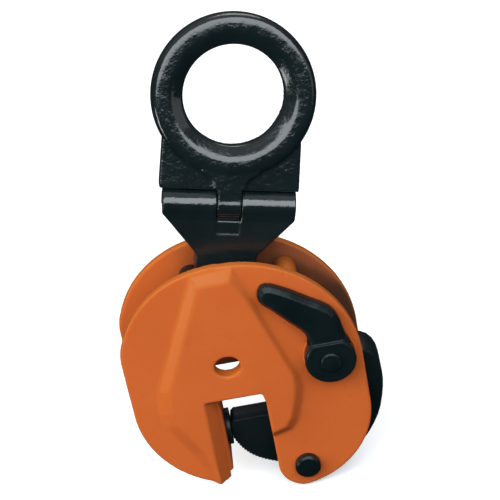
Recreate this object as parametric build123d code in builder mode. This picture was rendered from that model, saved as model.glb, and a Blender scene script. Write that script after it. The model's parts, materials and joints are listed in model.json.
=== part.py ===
from build123d import *
import math
import os

# ---------------------------------------------------------------------------
# Vertical plate lifting clamp with a hinged lifting eye.  Millimetres, +Z up.
# The row origin is the centre of the lifting eye.  The body of the clamp is
# drawn in its own datum (x across the plates, y through them, z along the jaw
# slot), and the eye and its shackle stand over it, leaning to one side and back.
# ---------------------------------------------------------------------------

# lifting eye and shackle
RING_R_OUT = 55.5          # eye, outside radius
RING_R_IN = 34.0           # eye, bore radius
RING_HALF_T = 10.0         # eye, half thickness
BORE_LAND = 3.5            # half width of the straight land in the bore
EYE_HEIGHT = 74.0          # eye centre above the barrel axis
EYE_LEAN = 18.5            # lean of the eye to the rear, degrees
SHACKLE_TILT = 13.6        # tilt of the shackle in the plane of the plates, degrees
BARREL_X, BARREL_Z = 11.4, 132.9   # barrel axis over the body datum
BARREL_R = 10.0
BARREL_HALF = 45.0
KNUCKLE_HALF = 8.0
KNUCKLE_R = 9.8
HINGE_PIN_R = 6.0
SHACKLE_HALF_T = 9.4
BLOCK_HALF_W = 46.6
BLOCK_HALF_T = 6.6

# side plates
T = 6.0                    # sheet thickness
F = 24.0                   # half width over the flanges
RAISE = 4.5                # height of the pressed panel
SLOT_L, SLOT_R, SLOT_TOP = -21.0, 11.2, -4.0

# mechanism, in the body datum (x, z)
CAM_P = (31.5, -70.8)      # cam pivot
LIFT_S = (10.0, 70.0)      # lift pin, shackle to links
LINK_T = (46.9, -52.4)     # link pin on the cam
LEVER_H = (60.5, 17.6)     # lock lever shaft
SPRING_A = (44.0, -33.0)   # spring anchor on the cam
CRANK_ANGLE = 170.0
CRANK_R = 12.6
PAD_Z = -43.6
PAD_R = 13.0
CAM_HALF = 8.8
TAIL_HALF = 13.0
LINK_IN, LINK_OUT = 9.7, 13.7
RUN = 0.05                 # radial running clearance

a = math.radians(SHACKLE_TILT)
b = math.radians(EYE_LEAN)
ux, uz = math.sin(a), math.cos(a)
# eye centre in the body datum
EX = BARREL_X + EYE_HEIGHT * math.cos(b) * ux
EY = EYE_HEIGHT * math.sin(b)
EZ = BARREL_Z + EYE_HEIGHT * math.cos(b) * uz
BX, BY, BZ = -EX, -EY, -EZ

os.makedirs("parts", exist_ok=True)


def at(y, x=0.0, z=0.0):
    """Plane parallel to the side plates at depth y, seen from the front."""
    return Plane(origin=(BX + x, BY + y, BZ + z), x_dir=(1, 0, 0), z_dir=(0, -1, 0))


def level(z, x=0.0, y=0.0):
    """Horizontal plane at height z of the body datum."""
    return Plane(origin=(BX + x, BY + y, BZ + z), x_dir=(1, 0, 0), z_dir=(0, 0, 1))


def facing(x, y=0.0, z=0.0):
    """Plane across the jaw, facing +X."""
    return Plane(origin=(BX + x, BY + y, BZ + z), x_dir=(0, 1, 0), z_dir=(1, 0, 0))


# directions of the shackle and the eye
V = Vector(uz, 0, -ux)                       # along the barrel, to the right
U = Vector(ux, 0, uz)                        # up the shackle
N = Vector(0, -math.cos(b), 0) + U * math.sin(b)      # out of the eye's face
W = U * math.cos(b) + Vector(0, math.sin(b), 0)       # up the eye
BARREL = Vector(BX + BARREL_X, BY, BZ + BARREL_Z)
S_REL = Vector(BX + LIFT_S[0], BY, BZ + LIFT_S[1]) - BARREL
S_V, S_D = S_REL.dot(V), S_REL.dot(U)        # lift pin in shackle axes

SHACKLE_PL = Plane(origin=BARREL, x_dir=V, z_dir=Vector(0, -1, 0))
EYE_PL = Plane(origin=(0, 0, 0), x_dir=V, z_dir=N)
EYE_AT_BARREL = Plane(origin=BARREL, x_dir=V, z_dir=N)
BARREL_SIDE = Plane(origin=BARREL, x_dir=U, z_dir=V)

# --- lifting eye -----------------------------------------------------------
with BuildPart() as lifting_ring:
    # block under the eye, thinner than the ring, so that the ring stands as a bead
    with BuildSketch(EYE_AT_BARREL):
        with BuildLine():
            Polyline((-BLOCK_HALF_W - 0.6, 10.35), (BLOCK_HALF_W - 0.2, 10.35),
                     (BLOCK_HALF_W, 14.0), (BLOCK_HALF_W, 43.0), (40.0, 52.0),
                     (-40.0, 52.0), (-BLOCK_HALF_W, 43.0), (-BLOCK_HALF_W - 0.8, 14.0),
                     close=True)
        make_face()
    extrude(amount=BLOCK_HALF_T, both=True)
    with BuildSketch(EYE_PL):
        Circle(45.0)
    extrude(amount=30, both=True, mode=Mode.SUBTRACT)
    with BuildSketch(Plane(origin=(0, 0, 0), x_dir=V, z_dir=-W)):
        with BuildLine():
            crown = [(34.6, 5.0), (37.0, 6.7), (40.0, 8.5), (42.0, 9.45), (43.6, 9.88), (45.4, RING_HALF_T),
                     (50.4, 9.9), (53.0, 9.1), (54.8, 6.6), (55.4, 3.2)]
            Line((RING_R_IN, -BORE_LAND), (RING_R_IN, BORE_LAND))
            Spline((RING_R_IN, BORE_LAND), *crown, (RING_R_OUT, 0), *[(r, -t) for r, t in reversed(crown)],
                   (RING_R_IN, -BORE_LAND), tangents=((0.0, 1.0), (0.0, 1.0)))
        make_face()
    revolve(axis=Axis((0, 0, 0), N), revolution_arc=360)
    # centre rib that runs down into the hinge knuckle
    with BuildSketch(EYE_AT_BARREL):
        with BuildLine():
            Polyline((-KNUCKLE_HALF, 0), (KNUCKLE_HALF, 0), (KNUCKLE_HALF, 11.0), (10.2, 11.0),
                     (10.5, 14.4), (11.8, 17.0), (14.5, 19.5), (19.5, 22.6), (19.5, 32.0),
                     (-19.5, 32.0), (-19.5, 22.6), (-14.5, 19.5), (-11.8, 17.0), (-10.5, 14.4),
                     (-10.2, 11.0), (-KNUCKLE_HALF, 11.0), close=True)
        make_face()
    extrude(amount=KNUCKLE_R - 0.4, both=True)
    with BuildSketch(BARREL_SIDE):
        Circle(KNUCKLE_R)
    extrude(amount=KNUCKLE_HALF, both=True)
    with BuildSketch(BARREL_SIDE):
        Circle(HINGE_PIN_R + RUN)
    extrude(amount=60, both=True, mode=Mode.SUBTRACT)
lifting_ring.part.label = "lifting_ring"
export_step(lifting_ring.part, "parts/lifting_ring.step")

# --- shackle plate -----------------------------------------------------------
with BuildPart() as shackle_plate:
    with BuildSketch(SHACKLE_PL):
        with BuildLine():
            Polyline((-BARREL_HALF, 0), (BARREL_HALF, 0), (BARREL_HALF, -6.5), (44.2, -8.2),
                     (22.2, -34.0), (21.2, -37.0), (20.8, -48.0), (S_V + 16.0, S_D),
                     (S_V - 16.0, S_D), (-20.6, -48.0), (-20.2, -37.0), (-20.8, -34.0),
                     (-42.4, -7.4), (-BARREL_HALF, -4.4), close=True)
        make_face()
        with Locations((S_V, S_D)):
            Circle(16.0)
    extrude(amount=SHACKLE_HALF_T, both=True)
    with BuildSketch(BARREL_SIDE):
        Circle(BARREL_R)
    extrude(amount=BARREL_HALF, both=True)
    # the lower corners of the barrel's ends follow the tapered flanks
    with BuildSketch(SHACKLE_PL):
        with BuildLine():
            Polyline((-50.0, -4.4), (-BARREL_HALF, -4.4), (-42.4, -7.4), (-40.2, -10.2), (-40.2, -14.0),
                     (-50.0, -14.0), close=True)
        make_face()
        with BuildLine():
            Polyline((50.0, -6.5), (BARREL_HALF, -6.5), (44.2, -8.2), (42.4, -10.3), (42.4, -14.0),
                     (50.0, -14.0), close=True)
        make_face()
    extrude(amount=20, both=True, mode=Mode.SUBTRACT)
    # gap for the knuckle of the eye, and the relief under it on both faces
    with BuildSketch(BARREL_SIDE):
        Circle(KNUCKLE_R + 0.7)
    extrude(amount=KNUCKLE_HALF + 0.35, both=True, mode=Mode.SUBTRACT)
    for face, way in ((SHACKLE_HALF_T, -1), (-SHACKLE_HALF_T, 1)):
        for height, depth in ((8.8, 3.0), (19.0, 0.8)):
            with BuildSketch(SHACKLE_PL.offset(face)):
                with Locations((0, -height / 2)):
                    Rectangle(2 * KNUCKLE_HALF + 0.7, height)
            extrude(amount=way * depth, mode=Mode.SUBTRACT)
    with BuildSketch(BARREL_SIDE):
        Circle(HINGE_PIN_R)
    extrude(amount=60, both=True, mode=Mode.SUBTRACT)
    with BuildSketch(SHACKLE_PL):
        with Locations((S_V, S_D)):
            Circle(8.0 + RUN)
    extrude(amount=30, both=True, mode=Mode.SUBTRACT)
shackle_plate.part.label = "shackle_plate"
export_step(shackle_plate.part, "parts/shackle_plate.step")

with BuildPart() as hinge_pin:
    with BuildSketch(BARREL_SIDE):
        Circle(HINGE_PIN_R)
    extrude(amount=BARREL_HALF - 0.4, both=True)
    chamfer(hinge_pin.edges().filter_by(GeomType.CIRCLE), 0.8)
hinge_pin.part.label = "hinge_pin"
export_step(hinge_pin.part, "parts/hinge_pin.step")

# --- lift pin with its two retaining rings --------------------------------
with BuildPart() as lift_pin:
    with BuildSketch(at(0, *LIFT_S)):
        Circle(8.0)
    extrude(amount=16.8, both=True)
    chamfer(lift_pin.edges().filter_by(GeomType.CIRCLE), 0.8)
    for side in (1, -1):
        with BuildSketch(at(-side * 14.5, *LIFT_S)):
            Circle(9.0)
            Circle(7.3, mode=Mode.SUBTRACT)
        extrude(amount=side * 1.2, mode=Mode.SUBTRACT)
lift_pin.part.label = "lift_pin"
export_step(lift_pin.part, "parts/lift_pin.step")

with BuildPart() as lift_pin_rings:
    for side in (1, -1):
        with BuildSketch(at(-side * 14.55, *LIFT_S)):
            Circle(10.6)
            Circle(7.32, mode=Mode.SUBTRACT)
            with Locations((0, -9.0)):
                Rectangle(5.0, 8.0, mode=Mode.SUBTRACT)
        extrude(amount=side * 1.1)
lift_pin_rings.part.label = "lift_pin_rings"
export_step(lift_pin_rings.part, "parts/lift_pin_rings.step")

# --- link plates from the lift pin to the cam ---------------------------------
def link_profile():
    dx, dz = LINK_T[0] - LIFT_S[0], LINK_T[1] - LIFT_S[1]
    L = math.hypot(dx, dz)
    return dx, dz, L


LDX, LDZ, LINK_L = link_profile()
LINK_ANG = math.degrees(math.atan2(LDZ, LDX))
for link_name, y0, sgn in (("front_link_plate", -LINK_IN, 1), ("rear_link_plate", LINK_IN, -1)):
    with BuildPart() as link:
        with BuildSketch(at(y0)):
            with Locations(Location((LIFT_S[0] + LDX / 2, LIFT_S[1] + LDZ / 2, 0), (0, 0, LINK_ANG))):
                Rectangle(LINK_L, 20.0)
            with Locations(LIFT_S):
                Circle(12.5)
            with Locations(LINK_T):
                Circle(12.2)
        extrude(amount=sgn * (LINK_OUT - LINK_IN))
        with BuildSketch(at(y0)):
            with Locations(LIFT_S):
                Circle(8.0 + RUN)
            with Locations(LINK_T):
                Circle(7.0 + 1.5)
        extrude(amount=sgn * 10, both=True, mode=Mode.SUBTRACT)
    link.part.label = link_name
    export_step(link.part, "parts/" + link_name + ".step")

with BuildPart() as link_cam_pin:
    with BuildSketch(at(0, *LINK_T)):
        Circle(7.0)
    extrude(amount=15.8, both=True)
    chamfer(link_cam_pin.edges().filter_by(GeomType.CIRCLE), 0.7)
link_cam_pin.part.label = "link_cam_pin"
export_step(link_cam_pin.part, "parts/link_cam_pin.step")

# --- side plates ---------------------------------------------------------------
# outline, anticlockwise from the foot of the left side
P_OUTER = [(-23.5, 96.2), (6.6, 98.4), (15.9, 70.1), (34.6, 12.0), (37.6, 3.0), (38.5, -4.0), (36.6, -15.5),
           (31.0, -32.0), (25.6, -39.4), (14.0, -42.4), (4.0, -44.0), (-12.0, -82.0), (-34.0, -82.0),
           (-39.6, -61.0), (-45.2, -47.0), (-54.0, -33.0), (-60.6, -21.0), (-63.0, -8.0), (-61.4, 9.0)]
P_INNER = [(-19.0, 88.6), (2.0, 88.6), (11.4, 71.8), (30.6, 14.6), (33.0, 6.6), (33.0, -3.0), (30.6, -14.4),
           (26.4, -27.0), (21.6, -34.0), (12.0, -37.2), (0.0, -40.0), (-14.0, -84.0), (-28.0, -84.0),
           (-32.6, -58.0), (-37.6, -43.5), (-45.4, -29.5), (-51.6, -17.0), (-54.6, -6.0), (-52.4, 11.0)]

# raised panel of the front plate, trimmed to the plate's outline and slot
with BuildSketch(at(-F)) as panel_base:
    with BuildLine():
        Polyline(*P_OUTER, close=True)
    make_face()
with BuildSketch(at(-(F + RAISE))) as panel_top:
    with BuildLine():
        Polyline(*P_INNER, close=True)
    make_face()

with BuildSketch(at(0)) as plate_outline:
    with BuildLine():
        Line((-21.0, -74.6), (-32.7, -73.6))
        ThreePointArc((-32.7, -73.6), (-64.2, -51.2), (-80.6, -6.0))
        Line((-80.6, -6.0), (-81.5, 36.0))
        ThreePointArc((-81.5, 36.0), (-80.9, 43.0), (-78.4, 50.6))
        ThreePointArc((-78.4, 50.6), (-52.0, 85.6), (-1.3, 99.3))
        ThreePointArc((-1.3, 99.3), (62.4, 69.1), (83.1, 16.0))
        Line((83.1, 16.0), (82.9, -26.0))
        ThreePointArc((82.9, -26.0), (63.0, -72.2), (28.0, -88.4))
        ThreePointArc((28.0, -88.4), (16.4, -82.8), (SLOT_R, -68.0))
        Line((SLOT_R, -68.0), (SLOT_R, -12.0))
        Line((SLOT_R, -12.0), (9.6, SLOT_TOP))
        Line((9.6, SLOT_TOP), (SLOT_L, SLOT_TOP))
        Line((SLOT_L, SLOT_TOP), (SLOT_L, -74.6))
    make_face()
    with Locations((-10.0, 22.7)):
        Ellipse(9.0, 7.9, mode=Mode.SUBTRACT)
    with Locations(CAM_P):
        Circle(8.03, mode=Mode.SUBTRACT)
    with Locations(LEVER_H):
        Circle(9.53, mode=Mode.SUBTRACT)

with BuildPart() as panel:
    loft(sections=[panel_base.sketch.face(), panel_top.sketch.face()], ruled=True)
    extrude(plate_outline.sketch, amount=80, mode=Mode.INTERSECT)

with BuildPart() as front_side_plate:
    extrude(plate_outline.sketch.moved(Location((0, -(F - T), 0))), amount=T)
    add(panel.part)
    # ramp along the left wall of the slot
    with BuildSketch(level(SLOT_TOP)):
        with BuildLine():
            Polyline((SLOT_L + 0.01, -15.5), (-31.2, -(F + RAISE)), (-33.0, -31.0), (0.0, -31.0),
                     (0.0, -15.5), close=True)
        make_face()
    extrude(amount=-120, mode=Mode.SUBTRACT)
front_side_plate.part.label = "front_side_plate"
export_step(front_side_plate.part, "parts/front_side_plate.step")

with BuildPart() as rear_side_plate:
    mirror(front_side_plate.part, about=Plane.XZ.offset(-BY))
rear_side_plate.part.label = "rear_side_plate"
export_step(rear_side_plate.part, "parts/rear_side_plate.step")

# --- fixed jaw: block between the plates, swivel pad and its ring ------------
with BuildPart() as jaw_block:
    with BuildSketch(level(SLOT_TOP)):
        with BuildLine():
            Polyline((SLOT_L, -15.5), (SLOT_L, 15.5), (-22.92, 17.95), (-37.0, 17.95), (-37.0, -17.95),
                     (-22.92, -17.95), close=True)
        make_face()
    extrude(amount=-66.0)
    with BuildSketch(facing(-60.0, 0, PAD_Z)):
        Circle(7.0 + RUN)
    extrude(amount=80, mode=Mode.SUBTRACT)
jaw_block.part.label = "jaw_block"
export_step(jaw_block.part, "parts/jaw_block.step")

with BuildPart() as swivel_pad:
    with BuildSketch(facing(SLOT_L + 0.3, 0, PAD_Z)):
        Circle(PAD_R)
    extrude(amount=3.1)
    # ring-shaped teeth on the face
    with BuildSketch(facing(SLOT_L + 3.4, 0, PAD_Z)):
        for r in (2.6, 5.4, 8.2, 11.0):
            with Locations((0, 0)):
                Circle(r)
                Circle(r - 1.3, mode=Mode.SUBTRACT)
    extrude(amount=-0.9, mode=Mode.SUBTRACT)
    chamfer(swivel_pad.faces().sort_by(Axis.X)[-1].outer_wire().edges(), 0.6)
    with BuildSketch(facing(SLOT_L + 0.3, 0, PAD_Z)):
        Circle(7.0)
    extrude(amount=-21.5)
    with BuildSketch(facing(-39.2, 0, PAD_Z)):
        Circle(8.0)
        Circle(6.2, mode=Mode.SUBTRACT)
    extrude(amount=1.3, mode=Mode.SUBTRACT)
swivel_pad.part.label = "swivel_pad"
export_step(swivel_pad.part, "parts/swivel_pad.step")

with BuildPart() as pad_ring:
    with BuildSketch(facing(-39.15, 0, PAD_Z)):
        Circle(9.3)
        Circle(6.22, mode=Mode.SUBTRACT)
        with Locations((0, -8.0)):
            Rectangle(4.4, 7.0, mode=Mode.SUBTRACT)
    extrude(amount=1.2)
pad_ring.part.label = "pad_ring"
export_step(pad_ring.part, "parts/pad_ring.step")

# --- cam ----------------------------------------------------------------------
FACE = [(-16.6, -36.6), (-17.3, -39.5), (-17.4, -44.0), (-17.2, -48.4), (-16.0, -52.0), (-13.8, -56.2),
        (-11.3, -60.4), (-8.0, -64.4), (-4.2, -67.8), (0.4, -70.8), (4.9, -73.2), (9.7, -75.3), (13.4, -77.0)]


def toothed(points, pitch, depth):
    """Saw-tooth polyline whose tips lie on the given line."""
    out, seg, carry = [points[0]], [], 0.0
    total = sum(math.dist(points[i], points[i + 1]) for i in range(len(points) - 1))
    n = int(total / pitch)
    step = total / n
    for k in range(1, n + 1):
        for frac, inward in ((-0.38, depth), (0.0, 0.0)):
            d = (k + frac) * step
            acc = 0.0
            for i in range(len(points) - 1):
                p, q = points[i], points[i + 1]
                L = math.dist(p, q)
                if d <= acc + L + 1e-9:
                    t = (d - acc) / L
                    x, z = p[0] + t * (q[0] - p[0]), p[1] + t * (q[1] - p[1])
                    nx, nz = -(q[1] - p[1]) / L, (q[0] - p[0]) / L
                    out.append((x + inward * nx, z + inward * nz))
                    break
                acc += L
    return out


with BuildSketch(at(0)) as cam_outline:
    with BuildLine():
        Polyline(*([(-14.2, -34.5)] + toothed(FACE, 2.5, 0.85)
                 + [(17.5, -80.5), (23.0, -84.4), (31.5, -86.3), (42.0, -84.8), (54.0, -80.4), (66.0, -72.8),
                    (75.8, -63.5), (78.6, -60.0), (82.6, -54.1), (86.3, -47.5), (89.0, -41.0), (91.6, -32.0),
                    (93.1, -25.0), (94.0, -18.5), (94.2, -12.0), (93.3, -5.0), (91.2, 0.6), (88.0, 4.8),
                    (84.0, 7.4), (79.5, 8.6), (74.5, 8.2), (70.5, 5.4), (67.4, 0.0), (62.0, -13.0),
                    (55.0, -22.0), (46.0, -27.6), (36.0, -31.6), (24.0, -34.5)]), close=True)
    make_face()

# thick lobe at the tail of the cam
with BuildPart() as tail_lobe:
    extrude(cam_outline.sketch, amount=TAIL_HALF, both=True)
    with BuildSketch(at(0)):
        with BuildLine():
            Polyline((62.0, -110.0), (62.0, -60.0), (63.5, -30.0), (66.0, -8.0), (68.0, 20.0), (120.0, 20.0),
                     (120.0, -110.0), close=True)
        make_face()
    extrude(amount=40, both=True, mode=Mode.INTERSECT)

with BuildPart() as cam:
    extrude(cam_outline.sketch, amount=CAM_HALF, both=True)
    add(tail_lobe.part)
    with BuildSketch(at(0)):
        with Locations(CAM_P):
            Circle(11.0)
        with Locations(LINK_T):
            Circle(7.0)
        with Locations(SPRING_A):
            Circle(2.5)
    extrude(amount=40, both=True, mode=Mode.SUBTRACT)
    # pocket for the hook of the spring
    with BuildSketch(level(-22.0, SPRING_A[0], 0)):
        Rectangle(15.0, 10.4)
    extrude(amount=-17.0, mode=Mode.SUBTRACT)
cam.part.label = "cam"
export_step(cam.part, "parts/cam.step")

with BuildPart() as cam_bush:
    with BuildSketch(at(0, *CAM_P)):
        Circle(11.0)
        Circle(8.0 + RUN, mode=Mode.SUBTRACT)
    extrude(amount=CAM_HALF, both=True)
cam_bush.part.label = "cam_bush"
export_step(cam_bush.part, "parts/cam_bush.step")

with BuildPart() as spring_anchor_pin:
    with BuildSketch(at(0, *SPRING_A)):
        Circle(2.5)
    extrude(amount=CAM_HALF, both=True)
spring_anchor_pin.part.label = "spring_anchor_pin"
export_step(spring_anchor_pin.part, "parts/spring_anchor_pin.step")

with BuildPart() as cam_pivot_pin:
    with BuildSketch(at(-F, *CAM_P)):
        Circle(8.9)
    extrude(amount=5.5)
    chamfer(cam_pivot_pin.faces().sort_by(Axis.Y)[0].edges(), 1.4)
    with BuildSketch(at(-F, *CAM_P)):
        Circle(8.0)
    extrude(amount=-(2 * F + 4.6))
    with BuildSketch(at(F + 3.2, *CAM_P)):
        Circle(9.0)
        Circle(7.2, mode=Mode.SUBTRACT)
    extrude(amount=1.3, mode=Mode.SUBTRACT)
cam_pivot_pin.part.label = "cam_pivot_pin"
export_step(cam_pivot_pin.part, "parts/cam_pivot_pin.step")

with BuildPart() as pivot_washer:
    with BuildSketch(at(F + 1.7, *CAM_P)):
        Circle(12.0)
        Circle(8.1, mode=Mode.SUBTRACT)
    extrude(amount=1.65)
pivot_washer.part.label = "pivot_washer"
export_step(pivot_washer.part, "parts/pivot_washer.step")

with BuildPart() as pivot_ring:
    with BuildSketch(at(F + 3.15, *CAM_P)):
        Circle(10.8)
        Circle(7.22, mode=Mode.SUBTRACT)
        with Locations((0, -9.0)):
            Rectangle(5.0, 8.0, mode=Mode.SUBTRACT)
    extrude(amount=1.2)
pivot_ring.part.label = "pivot_ring"
export_step(pivot_ring.part, "parts/pivot_ring.step")

with BuildPart() as pivot_spacers:
    for side in (1, -1):
        with BuildSketch(at(-side * 9.2, *CAM_P)):
            Circle(10.0)
            Circle(8.06, mode=Mode.SUBTRACT)
        extrude(amount=side * 8.6)
pivot_spacers.part.label = "pivot_spacers"
export_step(pivot_spacers.part, "parts/pivot_spacers.step")

# --- spacers between the plates ---------------------------------------------
with BuildPart() as right_spacer:
    with BuildSketch(at(0, 40.0, 67.0)):
        Circle(8.0)
        Circle(4.5, mode=Mode.SUBTRACT)
    extrude(amount=F - T, both=True)
right_spacer.part.label = "right_spacer"
export_step(right_spacer.part, "parts/right_spacer.step")

with BuildPart() as guide_studs:
    for side in (1, -1):
        with BuildSketch(at(-side * (F - T), -24.5, 73.0)):
            Circle(8.4)
        extrude(amount=-side * 8.6)
guide_studs.part.label = "guide_studs"
export_step(guide_studs.part, "parts/guide_studs.step")

# --- lock lever ------------------------------------------------------------------
ARM = [(52.0, 24.0), (46.2, 31.0), (47.3, 35.6), (46.6, 39.4), (44.2, 43.4), (37.3, 50.7), (31.7, 57.4),
       (26.2, 63.8), (21.3, 68.4), (19.4, 71.6), (19.0, 75.4), (20.0, 79.0), (22.2, 81.6), (25.4, 82.6),
       (29.7, 81.6), (35.8, 78.2), (42.0, 74.3), (48.0, 70.0), (54.1, 65.6), (60.3, 61.6), (65.8, 57.2),
       (69.2, 52.4), (71.2, 46.8), (72.3, 40.0), (73.4, 34.0), (76.4, 27.0)]
with BuildPart() as lock_lever:
    with BuildSketch(at(-F - 1.9)):
        with BuildLine():
            Polyline(*ARM, close=True)
        make_face()
    extrude(amount=8.2)
    chamfer(lock_lever.faces().sort_by(Axis.Y)[0].edges(), 3.2)
    with BuildSketch(at(-F - 1.6, *LEVER_H)):
        Circle(17.7)
    extrude(amount=10.6)
    chamfer(lock_lever.faces().sort_by(Axis.Y)[0].edges(), 1.4)
    # the hub's raised face ends in a straight step across the arm
    with BuildSketch(at(-F - 1.9 - 8.2, LEVER_H[0], LEVER_H[1] + 13.8 + 10.0)):
        Rectangle(60.0, 20.0)
    extrude(amount=10.0, mode=Mode.SUBTRACT)
    with BuildSketch(at(0, *LEVER_H)):
        Circle(7.0)
    extrude(amount=60, mode=Mode.SUBTRACT)
lock_lever.part.label = "lock_lever"
export_step(lock_lever.part, "parts/lock_lever.step")

with BuildPart() as lever_cap:
    with BuildSketch(at(-F - 12.2, *LEVER_H)):
        Circle(7.2)
    extrude(amount=2.2)
    chamfer(lever_cap.faces().sort_by(Axis.Y)[0].edges(), 0.8)
lever_cap.part.label = "lever_cap"
export_step(lever_cap.part, "parts/lever_cap.step")

with BuildPart() as lever_shaft:
    with BuildSketch(at(F + 4.6, *LEVER_H)):
        Circle(7.0)
    extrude(amount=2 * F + 4.6 + 12.2)
    with BuildSketch(at(F + 3.2, *LEVER_H)):
        Circle(9.0)
        Circle(6.3, mode=Mode.SUBTRACT)
    extrude(amount=1.3, mode=Mode.SUBTRACT)
lever_shaft.part.label = "lever_shaft"
export_step(lever_shaft.part, "parts/lever_shaft.step")

with BuildPart() as lever_boss:
    with BuildSketch(at(-F, *LEVER_H)):
        Circle(18.6)
        Circle(9.6, mode=Mode.SUBTRACT)
    extrude(amount=1.3)
lever_boss.part.label = "lever_boss"
export_step(lever_boss.part, "parts/lever_boss.step")

with BuildPart() as shaft_bushes:
    for side in (1, -1):
        with BuildSketch(at(-side * (F - T), *LEVER_H)):
            Circle(9.5)
            Circle(7.0 + RUN, mode=Mode.SUBTRACT)
        extrude(amount=side * T)
shaft_bushes.part.label = "shaft_bushes"
export_step(shaft_bushes.part, "parts/shaft_bushes.step")

with BuildPart() as shaft_washer:
    with BuildSketch(at(F + 1.7, *LEVER_H)):
        Circle(11.0)
        Circle(7.1, mode=Mode.SUBTRACT)
    extrude(amount=1.65)
shaft_washer.part.label = "shaft_washer"
export_step(shaft_washer.part, "parts/shaft_washer.step")

with BuildPart() as shaft_ring:
    with BuildSketch(at(F + 3.15, *LEVER_H)):
        Circle(9.6)
        Circle(6.32, mode=Mode.SUBTRACT)
        with Locations((0, -8.0)):
            Rectangle(4.4, 7.0, mode=Mode.SUBTRACT)
    extrude(amount=1.2)
shaft_ring.part.label = "shaft_ring"
export_step(shaft_ring.part, "parts/shaft_ring.step")

ca = math.radians(CRANK_ANGLE)
CRANK_K = (LEVER_H[0] + CRANK_R * math.cos(ca), LEVER_H[1] + CRANK_R * math.sin(ca))
with BuildPart() as lock_crank:
    with BuildSketch(at(-13.6)):
        with Locations(LEVER_H):
            Circle(10.5)
        with Locations(CRANK_K):
            Circle(5.5)
        with BuildLine():
            Polyline((LEVER_H[0] - 2, LEVER_H[1] + 10.0), (CRANK_K[0], CRANK_K[1] + 5.5),
                     (CRANK_K[0], CRANK_K[1] - 5.5), (LEVER_H[0] - 2, LEVER_H[1] - 10.0), close=True)
        make_face()
        with Locations(LEVER_H):
            Circle(7.0, mode=Mode.SUBTRACT)
        with Locations(CRANK_K):
            Circle(2.5, mode=Mode.SUBTRACT)
    extrude(amount=4.0)
lock_crank.part.label = "lock_crank"
export_step(lock_crank.part, "parts/lock_crank.step")

with BuildPart() as crank_pin:
    with BuildSketch(at(4.0, *CRANK_K)):
        Circle(2.5)
    extrude(amount=21.6)
    with BuildSketch(at(4.0, *CRANK_K)):
        Circle(3.6)
    extrude(amount=-1.4)
crank_pin.part.label = "crank_pin"
export_step(crank_pin.part, "parts/crank_pin.step")

# --- tension spring: closed sleeve of the coil with a loop at each end -----------
sdx, sdz = SPRING_A[0] - CRANK_K[0], SPRING_A[1] - CRANK_K[1]
SPRING_L = math.hypot(sdx, sdz)
SDIR = Vector(sdx / SPRING_L, 0, sdz / SPRING_L)
K3 = Vector(BX + CRANK_K[0], BY, BZ + CRANK_K[1])
A3 = Vector(BX + SPRING_A[0], BY, BZ + SPRING_A[1])
with BuildPart() as tension_spring:
    with BuildSketch(Plane(origin=K3 + SDIR * 8.5, x_dir=(0, 1, 0), z_dir=SDIR)):
        Circle(4.6)
        Circle(3.0, mode=Mode.SUBTRACT)
    extrude(amount=SPRING_L - 17.0)
    for centre in (K3, A3):
        with BuildSketch(Plane(origin=centre + Vector(0, 0.85, 0), x_dir=(1, 0, 0), z_dir=(0, -1, 0))):
            Circle(4.5)
            Circle(2.75, mode=Mode.SUBTRACT)
        extrude(amount=1.7)
    for c0 in (K3 + SDIR * 3.6, A3 - SDIR * 9.2):
        with BuildSketch(Plane(origin=c0, x_dir=(0, 1, 0), z_dir=SDIR)):
            Rectangle(1.7, 6.4)
        extrude(amount=5.6)
tension_spring.part.label = "tension_spring"
export_step(tension_spring.part, "parts/tension_spring.step")
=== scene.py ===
"""Looks of a vertical plate lifting clamp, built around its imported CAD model."""

import json
import math

import bmesh
import bpy
from mathutils import Matrix, Vector


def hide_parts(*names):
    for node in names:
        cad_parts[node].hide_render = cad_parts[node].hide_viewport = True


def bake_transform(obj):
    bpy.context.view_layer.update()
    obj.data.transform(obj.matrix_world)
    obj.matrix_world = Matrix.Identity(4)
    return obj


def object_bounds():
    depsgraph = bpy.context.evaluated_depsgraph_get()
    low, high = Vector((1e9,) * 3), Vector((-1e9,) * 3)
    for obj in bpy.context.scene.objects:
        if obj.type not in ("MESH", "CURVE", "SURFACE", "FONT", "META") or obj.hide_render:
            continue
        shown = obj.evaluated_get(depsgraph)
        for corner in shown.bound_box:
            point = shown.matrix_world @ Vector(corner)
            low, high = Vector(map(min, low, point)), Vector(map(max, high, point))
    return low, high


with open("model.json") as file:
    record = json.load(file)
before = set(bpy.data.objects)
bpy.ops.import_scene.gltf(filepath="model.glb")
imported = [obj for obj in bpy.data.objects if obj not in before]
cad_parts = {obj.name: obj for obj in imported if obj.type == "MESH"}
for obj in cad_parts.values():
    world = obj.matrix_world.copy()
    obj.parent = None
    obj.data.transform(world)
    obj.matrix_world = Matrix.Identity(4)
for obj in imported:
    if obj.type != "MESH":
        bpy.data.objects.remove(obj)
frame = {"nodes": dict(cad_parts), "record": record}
cad_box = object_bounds()
NODES = frame["nodes"]
scene = bpy.context.scene
MM = 0.001

# body datum of the clamp in the row frame, metres
BODY = Vector((-0.0279013, -0.0234805, -0.2011083))


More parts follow.
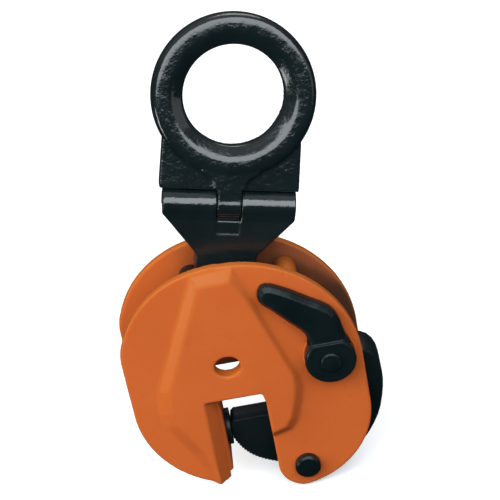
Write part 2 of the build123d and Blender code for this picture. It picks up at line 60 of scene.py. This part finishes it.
# ---------------------------------------------------------------- materials
class Mat:
    """A small node-tree writer. Sockets are given by name or number."""

    def __init__(self, name):
        self.m = bpy.data.materials.new(name)
        self.m.use_nodes = True
        self.t = self.m.node_tree
        self.t.nodes.clear()
        self.out = self.t.nodes.new("ShaderNodeOutputMaterial")
        self.b = self.t.nodes.new("ShaderNodeBsdfPrincipled")
        self.t.links.new(self.b.outputs[0], self.out.inputs[0])
        self.coord = self.t.nodes.new("ShaderNodeTexCoord").outputs["Object"]

    def put(self, socket, value):
        if hasattr(value, "is_linked"):
            self.t.links.new(value, socket)
        else:
            socket.default_value = value

    def set(self, **kw):
        for k, v in kw.items():
            self.put(self.b.inputs[k.replace("_", " ")], v)

    def noise(self, scale, detail=3.0, rough=0.5, stretch=None, kind="Fac", distortion=0.0):
        n = self.t.nodes.new("ShaderNodeTexNoise")
        n.inputs["Scale"].default_value = scale
        n.inputs["Detail"].default_value = detail
        n.inputs["Roughness"].default_value = rough
        n.inputs["Distortion"].default_value = distortion
        v = self.coord
        if stretch:
            mp = self.t.nodes.new("ShaderNodeMapping")
            mp.inputs["Scale"].default_value = stretch
            self.t.links.new(v, mp.inputs[0])
            v = mp.outputs[0]
        self.t.links.new(v, n.inputs["Vector"])
        return n.outputs[kind]

    def voronoi(self, scale, feature="F1"):
        n = self.t.nodes.new("ShaderNodeTexVoronoi")
        n.feature = feature
        n.inputs["Scale"].default_value = scale
        self.t.links.new(self.coord, n.inputs["Vector"])
        return n.outputs["Distance"]

    def ramp(self, fac, lo, hi, a=0.0, b=1.0):
        n = self.t.nodes.new("ShaderNodeMapRange")
        n.clamp = True
        n.interpolation_type = "SMOOTHSTEP"
        self.put(n.inputs["Value"], fac)
        n.inputs["From Min"].default_value = lo
        n.inputs["From Max"].default_value = hi
        n.inputs["To Min"].default_value = a
        n.inputs["To Max"].default_value = b
        return n.outputs["Result"]

    def math(self, op, a, b=0.0):
        n = self.t.nodes.new("ShaderNodeMath")
        n.operation = op
        self.put(n.inputs[0], a)
        self.put(n.inputs[1], b)
        return n.outputs[0]

    def mix(self, fac, a, b):
        n = self.t.nodes.new("ShaderNodeMix")
        n.data_type = "RGBA"
        self.put(n.inputs["Factor"], fac)
        ins = [s for s in n.inputs if s.type == "RGBA"]
        for s, v in zip(ins, (a, b)):
            if not hasattr(v, "is_linked"):
                v = (*v, 1.0)
            self.put(s, v)
        return [s for s in n.outputs if s.type == "RGBA"][0]

    def bump(self, height, strength, distance, normal=None):
        n = self.t.nodes.new("ShaderNodeBump")
        n.inputs["Strength"].default_value = strength
        n.inputs["Distance"].default_value = distance
        self.t.links.new(height, n.inputs["Height"])
        if normal is not None:
            self.t.links.new(normal, n.inputs["Normal"])
        return n.outputs["Normal"]

    def edges(self, radius, lo=0.985, hi=0.93):
        """1 on the edges of the piece, 0 on its faces."""
        bev = self.t.nodes.new("ShaderNodeBevel")
        bev.samples = 6
        bev.inputs["Radius"].default_value = radius
        geo = self.t.nodes.new("ShaderNodeNewGeometry")
        dot = self.t.nodes.new("ShaderNodeVectorMath")
        dot.operation = "DOT_PRODUCT"
        self.t.links.new(bev.outputs[0], dot.inputs[0])
        self.t.links.new(geo.outputs["True Normal"], dot.inputs[1])
        return self.ramp(dot.outputs["Value"], lo, hi)

    def closed(self, distance):
        """1 in the open, towards 0 in narrow gaps and inner corners."""
        n = self.t.nodes.new("ShaderNodeAmbientOcclusion")
        n.samples = 8
        n.inputs["Distance"].default_value = distance
        return n.outputs["AO"]

    def up(self, lo=0.55, hi=0.95, axis="Z"):
        """1 on faces that look along the axis (up), 0 on the rest."""
        nn = self.t.nodes.new("ShaderNodeNewGeometry").outputs["Normal"]
        sep = self.t.nodes.new("ShaderNodeSeparateXYZ")
        self.t.links.new(nn, sep.inputs[0])
        return self.ramp(sep.outputs[axis], lo, hi)

    def place(self, axis):
        """Position along one axis of the row frame, metres."""
        sep = self.t.nodes.new("ShaderNodeSeparateXYZ")
        self.t.links.new(self.coord, sep.inputs[0])
        return sep.outputs[axis]


def orange(name="orange_powder_coat", inner=False):
    m = Mat(name)
    broad = m.noise(16.0, 3.0, 0.55)
    base = m.mix(m.ramp(broad, 0.3, 0.7), (0.575, 0.120, 0.026), (0.615, 0.132, 0.029))
    fine = m.noise(900.0, 2.0, 0.6)
    base = m.mix(m.ramp(fine, 0.35, 0.75, 0.0, 0.22), base, (0.50, 0.098, 0.021))
    # handling marks: darker smudges, and a few fine scratches through the gloss
    smudge = m.ramp(m.noise(42.0, 5.0, 0.7, distortion=0.6), 0.56, 0.78, 0.0, 0.30)
    base = m.mix(smudge, base, (0.43, 0.088, 0.022))
    # lighter orange on the edges: partly thinned coat, partly a painted rim highlight
    edge_wear_and_highlight = m.math("MULTIPLY", m.edges(0.0011), m.ramp(m.noise(130.0, 4.0, 0.7), 0.42, 0.62, 0.10, 0.75))
    base = m.mix(edge_wear_and_highlight, base, (0.72, 0.22, 0.065))
    speck = m.ramp(m.noise(520.0, 2.0, 0.5), 0.735, 0.76, 0.0, 0.55)
    base = m.mix(speck, base, (0.19, 0.05, 0.02))
    # painted shade where the plates face each other and round the fixings
    if inner:
        # painted shade on the lock side (right) of the rear plate's inner face, behind the links, where the front
        # plate and shackle shadow it
        inside = m.ramp(m.place("Y"), -0.004, -0.0065)
        side = m.math("MULTIPLY", m.ramp(m.place("X"), -0.030, 0.008), inside)
        base = m.mix(m.math("MULTIPLY", side, 0.86), base, (0.088, 0.069, 0.046))
        # painted shadow of the front plate on the rear plate's inner face, in a band round the body's middle on the
        # right, and painted shade on the part seen through the sighting hole
        dx = m.math("ADD", m.place("X"), -BODY.x)
        dz = m.math("ADD", m.place("Z"), -BODY.z + 0.011)
        reach = m.math("SQRT", m.math("ADD", m.math("MULTIPLY", dx, dx), m.math("MULTIPLY", dz, dz)))
        reach = m.math("ADD", reach, m.math("MULTIPLY", m.noise(55.0, 3.0, 0.6), 0.006))
        front_rim_shadow = m.math("MULTIPLY", m.math("MULTIPLY", m.ramp(reach, 0.102, 0.092), m.ramp(m.place("X"), -0.006, 0.014)), inside)
        base = m.mix(m.math("MULTIPLY", front_rim_shadow, 0.85), base, (0.010, 0.010, 0.009))
        # painted shade on the lower part of the rear plate's inner face, seen through the sighting hole
        hole_painted_shade = m.math("MULTIPLY", m.math("MULTIPLY", m.ramp(m.place("X"), -0.066, -0.052), m.ramp(m.place("Z"), -0.148, -0.160)), inside)
        base = m.mix(m.math("MULTIPLY", hole_painted_shade, 0.80), base, (0.030, 0.028, 0.022))
        # painted shade: darker in narrow gaps and inner corners, reaching deeper between the plates
        base = m.mix(m.ramp(m.closed(0.060), 0.10, 0.45, 0.80, 0.0), base, (0.070, 0.036, 0.019))
    else:
        # painted shade: darker in narrow gaps and inner corners, such as round the lever's hub
        base = m.mix(m.ramp(m.closed(0.030), 0.10, 0.42, 0.80, 0.0), base, (0.070, 0.036, 0.019))
    # painted light: faces that look up, and faces that look left, are coloured a yellower orange, as faces lit from
    # the upper left look
    base = m.mix(m.math("MULTIPLY", m.up(0.12, 0.45), 0.75), base, (0.45, 0.122, 0.016))
    left = m.math("MULTIPLY", m.up(-0.12, -0.34, "X"), m.up(-0.02, 0.10))
    base = m.mix(m.math("MULTIPLY", left, 0.75), base, (0.47, 0.115, 0.016))
    rough = m.ramp(m.noise(60.0, 4.0, 0.6), 0.3, 0.75, 0.34, 0.46)
    scratch = m.ramp(m.noise(70.0, 2.0, 0.5, stretch=(1.0, 1.0, 26.0)), 0.66, 0.70, 0.0, 1.0)
    rough = m.math("ADD", rough, m.math("MULTIPLY", scratch, 0.14))
    peel = m.bump(m.noise(430.0, 2.0, 0.55), 0.16, 0.0004)
    peel = m.bump(m.noise(95.0, 2.0, 0.4), 0.10, 0.0012, peel)
    m.set(Base_Color=base, Roughness=rough, Metallic=0.0, Normal=peel)
    m.set(Coat_Weight=0.05, Coat_Roughness=0.22, Specular_IOR_Level=0.16)
    return m.m


def black(name, forged, rough_lo, rough_hi, coat, spec=0.75, barrel=False):
    m = Mat(name)
    base = m.mix(m.ramp(m.noise(24.0, 3.0, 0.6), 0.3, 0.7), (0.0028, 0.0075, 0.0085), (0.0050, 0.0105, 0.0118))
    dust = m.math("MULTIPLY", m.up(0.5, 1.0), m.ramp(m.noise(75.0, 5.0, 0.7), 0.40, 0.75, 0.0, 0.06))
    base = m.mix(dust, base, (0.16, 0.17, 0.18))
    # lighter grey on the edges: partly worn enamel, partly a painted edge highlight
    edge_wear_and_highlight = m.math("MULTIPLY", m.edges(0.0012), m.ramp(m.noise(160.0, 4.0, 0.7), 0.50, 0.66, 0.02, 0.25))
    base = m.mix(edge_wear_and_highlight, base, (0.075, 0.085, 0.09))
    rough = m.ramp(m.noise(48.0, 4.0, 0.65), 0.3, 0.72, rough_lo, rough_hi)
    if barrel:
        # the plate below the barrel is duller than the barrel, which is wiped bright
        along = m.math("ADD", m.math("MULTIPLY", m.place("X"), 0.235), m.math("MULTIPLY", m.place("Z"), 0.972))
        rough = m.math("ADD", rough, m.ramp(along, -0.0765, -0.0800, 0.0, 0.22))
    n = m.bump(m.noise(460.0, 3.0, 0.6), 0.16 + 0.22 * forged, 0.0004)
    if forged:
        n = m.bump(m.ramp(m.noise(150.0, 4.0, 0.6), 0.25, 0.75), 0.42 * forged, 0.0011, n)
        n = m.bump(m.noise(40.0, 2.0, 0.5), 0.30 * forged, 0.0036, n)
    m.set(Base_Color=base, Roughness=rough, Normal=n)
    m.set(Coat_Weight=coat, Coat_Roughness=0.05, Coat_IOR=1.6, Specular_IOR_Level=spec)
    return m.m


def metal(name, c0, c1, r0, r1, stretch, scale):
    m = Mat(name)
    grain = m.noise(scale, 4.0, 0.6, stretch=stretch)
    base = m.mix(m.ramp(grain, 0.3, 0.7), c0, c1)
    stain = m.ramp(m.noise(90.0, 5.0, 0.7), 0.55, 0.75, 0.0, 0.35)
    base = m.mix(stain, base, tuple(0.55 * v for v in c0))
    m.set(Base_Color=base, Metallic=1.0, Roughness=m.ramp(grain, 0.25, 0.75, r0, r1))
    m.set(Normal=m.bump(grain, 0.14, 0.0002))
    return m.m


M = {
    "orange_paint": orange(),
    "orange_inner_painted_shade": orange("orange_powder_coat_rear_painted_shade", True),
    "black_paint": black("black_gloss_enamel", 0.42, 0.08, 0.14, 0.5, 0.55),
    "black_barrel": black("black_barrel_enamel", 0.25, 0.07, 0.13, 0.0, 0.95, True),
    "black_satin": black("black_satin_enamel", 0.12, 0.24, 0.34, 0.0, 0.26),
    "black_machined": black("black_semi_gloss", 0.20, 0.30, 0.42, 0.0, 0.25),
    "zinc_steel": metal("zinc_plated_steel", (0.56, 0.57, 0.58), (0.68, 0.68, 0.67), 0.28, 0.42, (1, 14, 1), 260.0),
    "bronze": metal("bearing_bronze", (0.50, 0.33, 0.14), (0.64, 0.44, 0.21), 0.30, 0.44, (1, 9, 1), 240.0),
    "spring_steel": metal("oiled_spring_steel", (0.20, 0.21, 0.22), (0.32, 0.33, 0.34), 0.26, 0.40, (1, 1, 1), 300.0),
}
SLOT = {s["node"]: s["material_slot"] for s in frame["record"]["subparts"]}


def paint(obj, slot):
    obj.data.materials.clear()
    obj.data.materials.append(M[slot])


for name, obj in NODES.items():
    paint(obj, SLOT[name])
# coats laid over the same slot on pieces of two of the slots: the rear plate's orange with painted shade on its inner
# face, a duller black on the lever, cap, pin and studs, and the shackle's barrel black
paint(NODES["rear_side_plate"], "orange_inner_painted_shade")
for name in ("lock_lever", "lever_cap", "cam_pivot_pin", "guide_studs"):
    paint(NODES[name], "black_satin")
paint(NODES["shackle_plate"], "black_barrel")


# ------------------------------------------------------- finish of the CAD nodes
def modifier(obj, kind, name, **kw):
    md = obj.modifiers.new(name, kind)
    for k, v in kw.items():
        setattr(md, k, v)
    return md


def smooth(obj, angle=32.0):
    """Shaded smooth, with crisp lines only at real edges."""
    obj.data.shade_smooth()
    if "custom_normal" in obj.data.attributes:
        obj.data.attributes.remove(obj.data.attributes["custom_normal"])
    obj.data.set_sharp_from_angle(angle=math.radians(angle))


def forged(name, voxel, turns, factor=0.5):
    """Soft, evenly rounded edges and filled inner corners, as pressed or forged steel has."""
    obj = NODES[name]
    smooth(obj)
    modifier(obj, "WELD", "join_facets", merge_threshold=2e-6)
    modifier(obj, "REMESH", "even_skin", mode="VOXEL", voxel_size=voxel, use_smooth_shade=True)
    modifier(obj, "SMOOTH", "soft_edges", factor=factor, iterations=turns)


def turned(name, width, angle=30.0, segments=2):
    """Broken edges on machined pieces."""
    obj = NODES[name]
    smooth(obj, angle)
    modifier(obj, "WELD", "join_facets", merge_threshold=2e-6)
    modifier(obj, "BEVEL", "broken_edges", width=width, segments=segments, limit_method="ANGLE",
             angle_limit=math.radians(angle), harden_normals=False, use_clamp_overlap=True)


forged("front_side_plate", 0.8 * MM, 7)
forged("rear_side_plate", 0.8 * MM, 7)
forged("lifting_ring", 0.65 * MM, 6)
forged("shackle_plate", 0.7 * MM, 6)
# the shackle's skin stays just inside the guide studs that it slides past
modifier(NODES["shackle_plate"], "DISPLACE", "paint_clearance", strength=-0.06 * MM, mid_level=0.0, direction="NORMAL")
forged("jaw_block", 0.7 * MM, 4)
forged("lock_lever", 0.5 * MM, 3)
for name in NODES:
    if not NODES[name].modifiers:
        turned(name, 0.25 * MM)
for name in ("cam_pivot_pin", "hinge_pin", "guide_studs", "lever_cap", "right_spacer"):
    NODES[name].modifiers["broken_edges"].width = 0.5 * MM


# ------------------------------------------------------------- tension spring
def mesh_from_curve(name, points, radius, cyclic=False):
    cu = bpy.data.curves.new(name + "_line", "CURVE")
    cu.dimensions = "3D"
    sp = cu.splines.new("POLY")
    sp.points.add(len(points) - 1)
    for p, co in zip(sp.points, points):
        p.co = (*co, 1.0)
    cu.bevel_depth = radius
    cu.bevel_resolution = 4
    cu.use_fill_caps = True
    tmp = bpy.data.objects.new(name + "_tmp", cu)
    scene.collection.objects.link(tmp)
    bpy.context.view_layer.update()
    me = bpy.data.meshes.new_from_object(tmp.evaluated_get(bpy.context.evaluated_depsgraph_get()))
    me.name = name
    bpy.data.objects.remove(tmp)
    ob = bpy.data.objects.new(name, me)
    scene.collection.objects.link(ob)
    me.shade_smooth()
    return ob


def wound_spring():
    lever, anchor = Vector((0.0605, 0, 0.0176)), Vector((0.044, 0, -0.033))
    ca = math.radians(170.0)
    top = lever + Vector((12.6 * math.cos(ca), 0, 12.6 * math.sin(ca))) * MM
    d = anchor - top
    length = d.length
    d.normalize()
    side = Vector((0, 1, 0))
    other = d.cross(side)
    wire, rad = 0.85 * MM, 3.7 * MM
    pts = []
    # hook round the crank pin, out of the coil's middle
    hook = 3.65 * MM

    def ring(centre, sign):
        out = []
        for k in range(0, 25):
            t = math.radians(-20 + 280 * k / 24)
            out.append(centre + hook * (math.cos(t) * (-sign) * d + math.sin(t) * other))
        return out

    first = ring(top, 1)
    first.reverse()
    body0, body1 = top + d * 9.4 * MM, anchor - d * 9.4 * MM
    turns = int((body1 - body0).length / (2.02 * wire))
    steps = turns * 16
    coil = []
    for k in range(steps + 1):
        t = 2 * math.pi * k / 16
        grow = min(1.0, k / 8.0, (steps - k) / 8.0)
        coil.append(body0 + (body1 - body0) * (k / steps) + rad * (0.25 + 0.75 * grow) * (math.cos(t) * side + math.sin(t) * other))
    last = ring(anchor, -1)
    pts = [*first[:-2], top + d * 6.2 * MM, *coil, anchor - d * 6.2 * MM, *last[2:]]
    pts = [p + BODY for p in pts]
    ob = mesh_from_curve("tension_spring_coil", pts, wire)
    ob.data.materials.append(M["spring_steel"])
    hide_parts("tension_spring")
    return ob, top + BODY, anchor + BODY, d


coil, coil_top, coil_end, coil_dir = wound_spring()
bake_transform(coil)

# ------------------------------------------------------------------ stage
lo, hi = [Vector(v) for v in cad_box]
centre = (lo + hi) / 2


def plane(name, size, z):
    me = bpy.data.meshes.new(name)
    bm = bmesh.new()
    bmesh.ops.create_grid(bm, x_segments=1, y_segments=1, size=size)
    bm.to_mesh(me)
    bm.free()
    ob = bpy.data.objects.new(name, me)
    ob.location = (0, 0, z)
    scene.collection.objects.link(ob)
    return ob


floor = plane("floor", 14.0, lo.z - 0.002)
fm = Mat("pale_floor")
fm.set(Emission_Color=(1, 1, 1, 1), Emission_Strength=0.42)
fm.set(Base_Color=fm.mix(fm.noise(3.0), (0.86, 0.86, 0.86), (0.88, 0.88, 0.88)), Roughness=0.9, Specular_IOR_Level=0.0)
floor.data.materials.append(fm.m)
floor.visible_glossy = False
floor.visible_diffuse = False

world = bpy.data.worlds.new("studio")
scene.world = world
world.use_nodes = True
wt = world.node_tree
wt.nodes.clear()
wo = wt.nodes.new("ShaderNodeOutputWorld")
tc = wt.nodes.new("ShaderNodeTexCoord")
sx = wt.nodes.new("ShaderNodeSeparateXYZ")
cr = wt.nodes.new("ShaderNodeValToRGB")
bg = wt.nodes.new("ShaderNodeBackground")
wt.links.new(tc.outputs["Generated"], sx.inputs[0])
mr = wt.nodes.new("ShaderNodeMapRange")
mr.inputs["From Min"].default_value = -1.0
mr.inputs["From Max"].default_value = 1.0
wt.links.new(sx.outputs["Z"], mr.inputs["Value"])
wt.links.new(mr.outputs[0], cr.inputs[0])
e = cr.color_ramp.elements
e[0].position, e[0].color = 0.0, (0.05, 0.052, 0.055, 1)
e[1].position, e[1].color = 1.0, (0.95, 0.97, 1.0, 1)
for pos, v in ((0.46, 0.07), (0.56, 0.12), (0.75, 0.35)):
    x = e.new(pos)
    x.color = (v * 0.97, v * 0.99, v, 1)
wt.links.new(cr.outputs[0], bg.inputs[0])
bg.inputs[1].default_value = 0.45
pale = wt.nodes.new("ShaderNodeBackground")
pale.inputs[0].default_value = (1, 1, 1, 1)
lp = wt.nodes.new("ShaderNodeLightPath")
mx = wt.nodes.new("ShaderNodeMixShader")
wt.links.new(lp.outputs["Is Camera Ray"], mx.inputs[0])
wt.links.new(bg.outputs[0], mx.inputs[1])
wt.links.new(pale.outputs[0], mx.inputs[2])
wt.links.new(mx.outputs[0], wo.inputs[0])


def area(name, at, to, size, power, color=(1, 1, 1), size_y=None):
    l = bpy.data.lights.new(name, "AREA")
    l.energy = power
    l.color = color
    l.size = size
    if size_y:
        l.shape = "RECTANGLE"
        l.size_y = size_y
    ob = bpy.data.objects.new(name, l)
    ob.location = at
    ob.rotation_euler = (Vector(to) - Vector(at)).to_track_quat("-Z", "Y").to_euler()
    scene.collection.objects.link(ob)
    return ob


aim = centre


def from_dir(azimuth, elevation, distance):
    """A place seen from the object: azimuth 0 is straight in front, negative to the left."""
    az, el = math.radians(azimuth), math.radians(elevation)
    return aim + distance * Vector((math.sin(az) * math.cos(el), -math.cos(az) * math.cos(el), math.sin(el)))


area("softbox", from_dir(4, 41, 2.0), aim, 3.2, 55.0, (0.88, 0.94, 1.0), 1.5)
key = area("key", from_dir(-62, 34, 2.2), aim, 1.5, 36.0, (1.0, 0.97, 0.93))
key.visible_glossy = False
area("fill", from_dir(60, 8, 2.6), aim, 1.3, 3.0)
area("low", from_dir(-62, -4, 1.5), aim + Vector((-0.02, 0, -0.09)), 0.5, 4.0)
area("back", from_dir(160, 45, 2.4), aim, 1.3, 10.0)

# ------------------------------------------------------------------ camera
cam = bpy.data.cameras.new("camera")
cam.lens = 172.8
cam.sensor_width = 36.0
cam.clip_start, cam.clip_end = 0.05, 60.0
co = bpy.data.objects.new("camera", cam)
right = Vector((0.98394538, -0.06322162, -0.16689675))
down = Vector((-0.1761534, -0.4942124, -0.85130728))
ahead = Vector((-0.02866142, 0.86703929, -0.4974147))
co.matrix_world = Matrix((
    (right.x, -down.x, -ahead.x, 0.0385),
    (right.y, -down.y, -ahead.y, -1.43878),
    (right.z, -down.z, -ahead.z, 0.70549),
    (0, 0, 0, 1)))
scene.collection.objects.link(co)
scene.camera = co
scene.view_settings.view_transform = "Standard"
scene.view_settings.look = "None"
